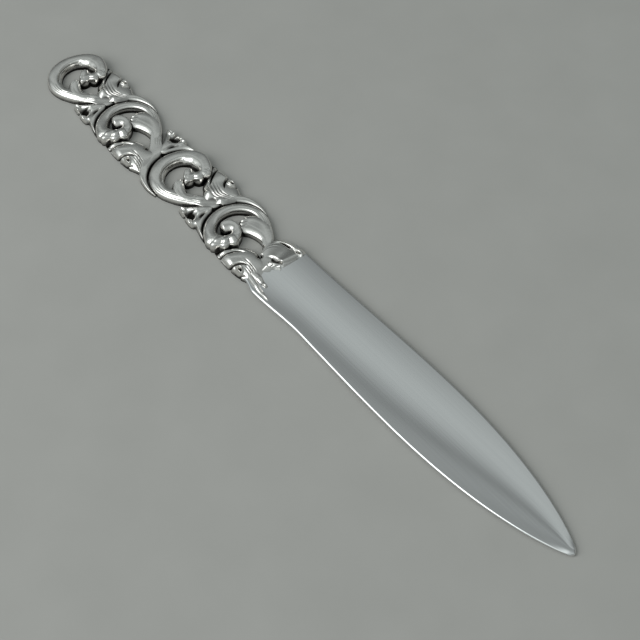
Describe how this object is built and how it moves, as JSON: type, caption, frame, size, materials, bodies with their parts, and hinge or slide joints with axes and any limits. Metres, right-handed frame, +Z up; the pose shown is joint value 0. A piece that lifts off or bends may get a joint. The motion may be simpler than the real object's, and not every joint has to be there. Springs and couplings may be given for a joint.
{
  "type": "letter opener",
  "caption": "Silver letter opener with a plain lens-section blade and a pierced handle of running acanthus scrolls, lying flat.",
  "frame": {"origin": "middle of the length and width, on the surface that the opener lies on", "axes": "+X along the opener to the blade's point, +Y across it, +Z up out of the ornamented face"},
  "size_m": [0.1828, 0.0176, 0.0034],
  "materials": {
    "blade_silver": "polished sterling silver with fine lengthwise polishing lines",
    "scroll_silver": "polished cast sterling silver with dark oxide left in the crevices"
  },
  "bodies": {
    "root": {"blade": "blade_silver", "calyx_leaf": "scroll_silver", "edge_leaf": "scroll_silver", "scroll_1": "scroll_silver", "scroll_2": "scroll_silver", "scroll_3": "scroll_silver", "scroll_4": "scroll_silver", "volute_eye_1": "scroll_silver", "volute_eye_2": "scroll_silver", "volute_eye_3": "scroll_silver", "volute_eye_4": "scroll_silver", "leaflet_1": "scroll_silver", "leaflet_2": "scroll_silver", "leaflet_3": "scroll_silver", "leaflet_4": "scroll_silver", "leaf_1": "scroll_silver", "leaf_2": "scroll_silver", "leaf_3": "scroll_silver", "leaf_4": "scroll_silver", "stem_1": "scroll_silver", "stem_2": "scroll_silver", "stem_3": "scroll_silver", "bud_1": "scroll_silver", "bud_2": "scroll_silver", "bud_3": "scroll_silver"}
  },
  "joints": []
}
